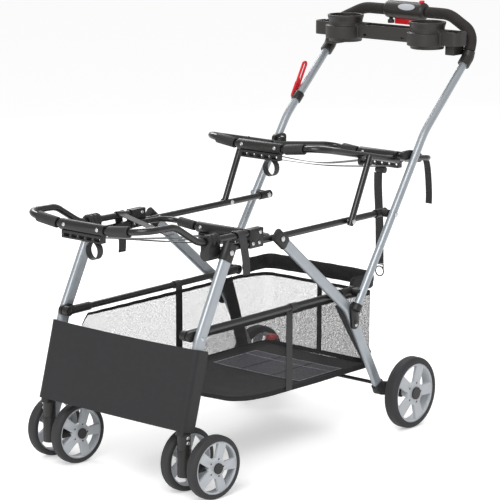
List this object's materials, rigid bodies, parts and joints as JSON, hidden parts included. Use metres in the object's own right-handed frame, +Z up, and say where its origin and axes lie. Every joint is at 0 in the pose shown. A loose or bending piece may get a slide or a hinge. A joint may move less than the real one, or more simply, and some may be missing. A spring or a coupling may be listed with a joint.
{
  "type": "folding car seat stroller frame",
  "caption": "Folding tandem stroller frame that carries infant car seats on tube trays, with twin-wheel casters, fixed rear wheels, a mesh basket and a foam push handle with a parent tray.",
  "frame": {"origin": "on the floor under the middle of the frame", "axes": "+X to the right of someone facing the way the front points backwards, that is the picture's near side; -Y is the front; +Z is up"},
  "size_m": [0.5695, 1.2607, 1.0565],
  "materials": {
    "black_tube": "gloss black powder coat",
    "silver_tube": "satin silver paint",
    "steel": "bright zinc",
    "plastic": "black moulded",
    "charcoal": "charcoal moulded",
    "grip": "soft sleeve",
    "foam": "open grain foam",
    "tyre": "smooth dark tread",
    "rim": "silver moulded",
    "red": "red moulded",
    "nylon": "black woven nylon",
    "mesh": "grey open mesh",
    "webbing": "black webbing"
  },
  "bodies": {
    "upper_frame": {"upper_rail_left": "black_tube", "upper_rail_right": "black_tube", "rail_brackets": "plastic", "front_tray_front_loop": "black_tube", "front_tray_rear_loop": "black_tube", "front_tray_plates": "plastic", "front_tray_grips": "grip", "front_tray_clips": "plastic", "front_tray_straps": "webbing", "fold_pins": "steel"},
    "front_legs": {"front_leg_left": "silver_tube", "front_leg_right": "silver_tube", "front_leg_fittings": "plastic", "front_cross_tube": "black_tube", "front_panel": "nylon"},
    "lower_rails": {"lower_rail_left": "black_tube", "lower_rail_right": "black_tube", "lower_rail_fittings": "plastic", "basket_sides": "mesh", "basket_floor": "nylon", "basket_trim": "webbing"},
    "rear_legs": {"rear_leg_left": "silver_tube", "rear_leg_right": "silver_tube", "rear_leg_fittings": "plastic", "rear_axles": "steel"},
    "posts": {"tray_posts": "black_tube"},
    "rear_tray": {"rear_tray_front_loop": "black_tube", "rear_tray_rear_loop": "black_tube", "rear_tray_plates": "plastic", "rear_tray_grips": "grip", "rear_tray_straps": "webbing"},
    "handle": {"handle_tube_left": "silver_tube", "handle_tube_right": "silver_tube", "handlebar_tube": "black_tube", "handle_elbows": "plastic", "foam_grips": "foam", "console": "plastic", "parent_tray": "charcoal", "latch_brackets": "plastic"},
    "trigger": {"release_trigger": "red"},
    "button": {"lock_button": "red"},
    "latch": {"storage_latch": "red"},
    "caster_left": {"caster_fork_left": "plastic", "caster_axle_left": "plastic"},
    "front_wheel_left_inner": {"front_tyre_left_inner": "tyre", "front_rim_left_inner": "rim"},
    "front_wheel_left_outer": {"front_tyre_left_outer": "tyre", "front_rim_left_outer": "rim"},
    "rear_wheel_left": {"rear_tyre_left": "tyre", "rear_rim_left": "rim"},
    "brake": {"brake_pedal": "red"},
    "caster_right": {"caster_fork_right": "plastic", "caster_axle_right": "plastic"},
    "front_wheel_right_inner": {"front_tyre_right_inner": "tyre", "front_rim_right_inner": "rim"},
    "front_wheel_right_outer": {"front_tyre_right_outer": "tyre", "front_rim_right_outer": "rim"},
    "rear_wheel_right": {"rear_tyre_right": "tyre", "rear_rim_right": "rim"}
  },
  "joints": [
    {"name": "front_leg_fold", "type": "hinge", "parent": "upper_frame", "child": "front_legs", "pos_m": [0, -0.365, 0.558], "axis": [1, 0, 0], "range_deg": [0, 70], "deforming": ["basket_sides", "basket_floor", "basket_trim", "front_tray_straps", "rear_tray_straps"]},
    {"name": "handle_fold", "type": "hinge", "parent": "upper_frame", "child": "handle", "pos_m": [0, 0.259, 0.558], "axis": [1, 0, 0], "range_deg": [0, 70]},
    {"name": "rear_leg_fold", "type": "hinge", "parent": "upper_frame", "child": "rear_legs", "pos_m": [0, -0.162, 0.558], "axis": [1, 0, 0], "range_deg": [0, 10.5]},
    {"name": "lower_rail_fold", "type": "hinge", "parent": "front_legs", "child": "lower_rails", "pos_m": [0, -0.481, 0.376], "axis": [1, 0, 0], "range_deg": [-70, 0]},
    {"name": "post_fold", "type": "hinge", "parent": "upper_frame", "child": "posts", "pos_m": [0, 0.114, 0.558], "axis": [1, 0, 0], "range_deg": [0, 70]},
    {"name": "rear_tray_fold", "type": "hinge", "parent": "posts", "child": "rear_tray", "pos_m": [0, 0.179, 0.697], "axis": [1, 0, 0], "range_deg": [-70, 0]},
    {"name": "caster_swivel_left", "type": "hinge", "parent": "front_legs", "child": "caster_left", "pos_m": [-0.219, -0.518, 0.117], "axis": [0, 0, 1], "continuous": true},
    {"name": "front_wheel_left_inner_spin", "type": "hinge", "parent": "caster_left", "child": "front_wheel_left_inner", "pos_m": [-0.16902, -0.47298, 0.076], "axis": [0.9945, -0.1045, 0], "continuous": true},
    {"name": "front_wheel_left_outer_spin", "type": "hinge", "parent": "caster_left", "child": "front_wheel_left_outer", "pos_m": [-0.25853, -0.46357, 0.076], "axis": [0.9945, -0.1045, 0], "continuous": true},
    {"name": "rear_wheel_left_spin", "type": "hinge", "parent": "rear_legs", "child": "rear_wheel_left", "pos_m": [-0.257, 0.304, 0.092], "axis": [1, 0, 0], "continuous": true},
    {"name": "brake_press", "type": "hinge", "parent": "rear_legs", "child": "brake", "pos_m": [-0.191, 0.268, 0.112], "axis": [1, 0, 0], "range_deg": [-14, 0], "stiffness_Nm_per_rad": 1.2, "springref_deg": 3.44},
    {"name": "caster_swivel_right", "type": "hinge", "parent": "front_legs", "child": "caster_right", "pos_m": [0.219, -0.518, 0.117], "axis": [0, 0, 1], "continuous": true},
    {"name": "front_wheel_right_inner_spin", "type": "hinge", "parent": "caster_right", "child": "front_wheel_right_inner", "pos_m": [0.17947, -0.46357, 0.076], "axis": [0.9945, -0.1045, 0], "continuous": true},
    {"name": "front_wheel_right_outer_spin", "type": "hinge", "parent": "caster_right", "child": "front_wheel_right_outer", "pos_m": [0.26898, -0.47298, 0.076], "axis": [0.9945, -0.1045, 0], "continuous": true},
    {"name": "rear_wheel_right_spin", "type": "hinge", "parent": "rear_legs", "child": "rear_wheel_right", "pos_m": [0.257, 0.304, 0.092], "axis": [1, 0, 0], "continuous": true},
    {"name": "trigger_squeeze", "type": "slide", "parent": "handle", "child": "trigger", "axis": [0, 0, 1], "range_m": [0, 0.006], "stiffness_N_per_m": 300, "springref_m": -0.003},
    {"name": "button_press", "type": "slide", "parent": "handle", "child": "button", "axis": [0, 0, 1], "range_m": [-0.004, 0], "stiffness_N_per_m": 300, "springref_m": 0.002},
    {"name": "storage_latch_swing", "type": "hinge", "parent": "handle", "child": "latch", "pos_m": [-0.2425, 0.437, 0.797], "axis": [1, 0, 0], "range_deg": [0, 100]}
  ],
  "couplings": [
    {"joint": "handle_fold", "follows": "front_leg_fold", "ratio": 1},
    {"joint": "rear_leg_fold", "follows": "front_leg_fold", "ratio": 0.15},
    {"joint": "lower_rail_fold", "follows": "front_leg_fold", "ratio": -1},
    {"joint": "post_fold", "follows": "front_leg_fold", "ratio": 1},
    {"joint": "rear_tray_fold", "follows": "front_leg_fold", "ratio": -1}
  ]
}
